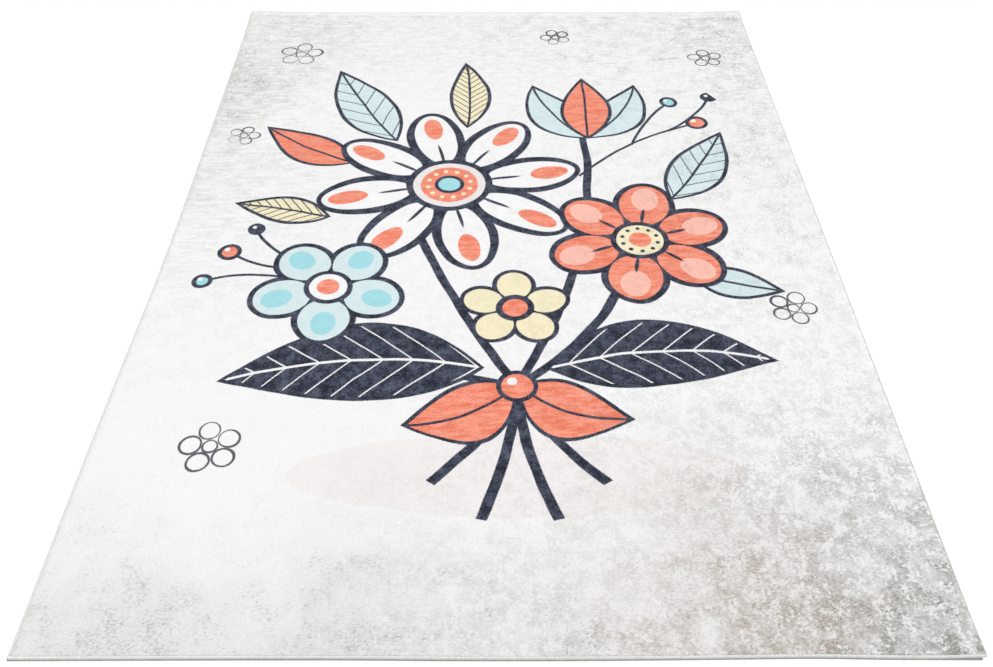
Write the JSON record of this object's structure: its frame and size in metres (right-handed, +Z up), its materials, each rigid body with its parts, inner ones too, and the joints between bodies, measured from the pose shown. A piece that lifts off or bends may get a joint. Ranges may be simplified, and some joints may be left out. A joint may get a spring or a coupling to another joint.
{
  "type": "nursery rug",
  "caption": "Flat rectangular short-pile printed nursery rug with overlocked yarn edging on all sides.",
  "frame": {"origin": "middle of the rug's underside, on the floor", "axes": "+X across the rug's width, +Y along its length from the near end to the far end of the print, +Z up through the pile"},
  "size_m": [1.2, 1.7001, 0.0099],
  "materials": {
    "printed_pile": "short velvety polyester pile, printed with a mottled pale grey ground and a flower posy in navy, coral, aqua and pale yellow",
    "edging_yarn": "matt off-white overlocking yarn"
  },
  "bodies": {
    "root": {"rug_cloth": "printed_pile", "edging_near": "edging_yarn", "edging_far": "edging_yarn", "edging_left": "edging_yarn", "edging_right": "edging_yarn"}
  },
  "joints": []
}
